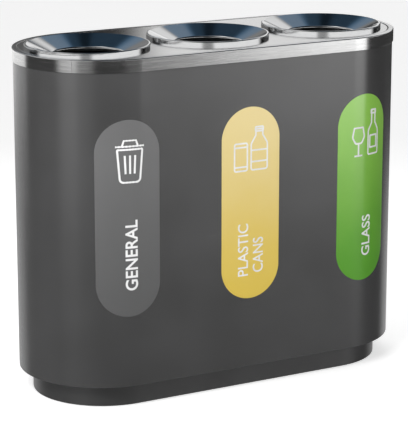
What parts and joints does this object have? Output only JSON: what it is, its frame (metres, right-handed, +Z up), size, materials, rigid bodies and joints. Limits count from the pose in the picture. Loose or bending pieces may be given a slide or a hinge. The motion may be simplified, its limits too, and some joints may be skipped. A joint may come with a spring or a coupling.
{
  "type": "litter bin",
  "caption": "Free-standing round-ended recycling bin with a lift-off steel lid, spun funnels, coloured stream labels and round inner liners.",
  "frame": {"origin": "on the ground under the middle of the body", "axes": "+X along the body, +Y from the labelled front to the back, +Z up"},
  "size_m": [0.945, 0.4, 0.8025],
  "materials": {
    "shell_coat": "satin powder coat",
    "plinth_coat": "satin powder coat",
    "brushed_stainless": "brushed along the rim",
    "satin_stainless": "fine satin",
    "polished_stainless": "polished",
    "galvanised": "galvanised, faint spangle",
    "zinc_fixings": "bright zinc",
    "black_nylon": "moulded",
    "black_rubber": "extruded",
    "film_grey": "satin vinyl",
    "film_yellow": "satin vinyl",
    "film_green": "satin vinyl"
  },
  "bodies": {
    "bin": {"plinth": "plinth_coat", "plinth_bolts": "zinc_fixings", "plinth_nuts": "zinc_fixings", "floor_pan": "galvanised", "anchor_sleeves": "galvanised", "foot_pads": "black_nylon", "foot_studs": "zinc_fixings", "foot_bosses": "galvanised", "foot_locknuts": "zinc_fixings", "outer_shell": "shell_coat", "seam_strip": "galvanised", "seam_rivets": "shell_coat", "edge_trim": "black_rubber", "mouth_stiffener": "galvanised", "label_left": "film_grey", "locating_ring_left": "galvanised", "label_centre": "film_yellow", "locating_ring_centre": "galvanised", "label_right": "film_green", "locating_ring_right": "galvanised"},
    "lid": {"lid_rim": "brushed_stainless", "lid_deck": "satin_stainless", "lid_frame": "galvanised", "lid_guides": "black_nylon", "guide_screws": "zinc_fixings", "funnel_studs": "zinc_fixings", "funnel_nuts": "zinc_fixings", "funnel_left": "polished_stainless", "clamp_ring_left": "galvanised", "funnel_centre": "polished_stainless", "clamp_ring_centre": "galvanised", "funnel_right": "polished_stainless", "clamp_ring_right": "galvanised"},
    "left_pail": {"liner_left": "galvanised", "bag_ring_left": "satin_stainless", "handle_eyes_left": "galvanised", "eye_rivets_left": "zinc_fixings"},
    "left_front_bail": {"handle_left_front": "zinc_fixings"},
    "left_back_bail": {"handle_left_back": "zinc_fixings"},
    "centre_pail": {"liner_centre": "galvanised", "bag_ring_centre": "satin_stainless", "handle_eyes_centre": "galvanised", "eye_rivets_centre": "zinc_fixings"},
    "centre_front_bail": {"handle_centre_front": "zinc_fixings"},
    "centre_back_bail": {"handle_centre_back": "zinc_fixings"},
    "right_pail": {"liner_right": "galvanised", "bag_ring_right": "satin_stainless", "handle_eyes_right": "galvanised", "eye_rivets_right": "zinc_fixings"},
    "right_front_bail": {"handle_right_front": "zinc_fixings"},
    "right_back_bail": {"handle_right_back": "zinc_fixings"}
  },
  "joints": [
    {"name": "lid_lift", "type": "slide", "parent": "bin", "child": "lid", "axis": [0, 0, 1], "range_m": [0, 0.2]},
    {"name": "left_liner_lift", "type": "slide", "parent": "bin", "child": "left_pail", "axis": [0, 0, 1], "range_m": [0, 0.03]},
    {"name": "left_front_handle_swing", "type": "hinge", "parent": "left_pail", "child": "left_front_bail", "pos_m": [-0.307, -0.1485, 0.69], "axis": [-1, 0, 0], "range_deg": [0, 150]},
    {"name": "left_back_handle_swing", "type": "hinge", "parent": "left_pail", "child": "left_back_bail", "pos_m": [-0.307, 0.1485, 0.69], "axis": [1, 0, 0], "range_deg": [0, 150]},
    {"name": "centre_liner_lift", "type": "slide", "parent": "bin", "child": "centre_pail", "axis": [0, 0, 1], "range_m": [0, 0.03]},
    {"name": "centre_front_handle_swing", "type": "hinge", "parent": "centre_pail", "child": "centre_front_bail", "pos_m": [0, -0.1485, 0.69], "axis": [-1, 0, 0], "range_deg": [0, 150]},
    {"name": "centre_back_handle_swing", "type": "hinge", "parent": "centre_pail", "child": "centre_back_bail", "pos_m": [0, 0.1485, 0.69], "axis": [1, 0, 0], "range_deg": [0, 150]},
    {"name": "right_liner_lift", "type": "slide", "parent": "bin", "child": "right_pail", "axis": [0, 0, 1], "range_m": [0, 0.03]},
    {"name": "right_front_handle_swing", "type": "hinge", "parent": "right_pail", "child": "right_front_bail", "pos_m": [0.307, -0.1485, 0.69], "axis": [-1, 0, 0], "range_deg": [0, 150]},
    {"name": "right_back_handle_swing", "type": "hinge", "parent": "right_pail", "child": "right_back_bail", "pos_m": [0.307, 0.1485, 0.69], "axis": [1, 0, 0], "range_deg": [0, 150]}
  ]
}
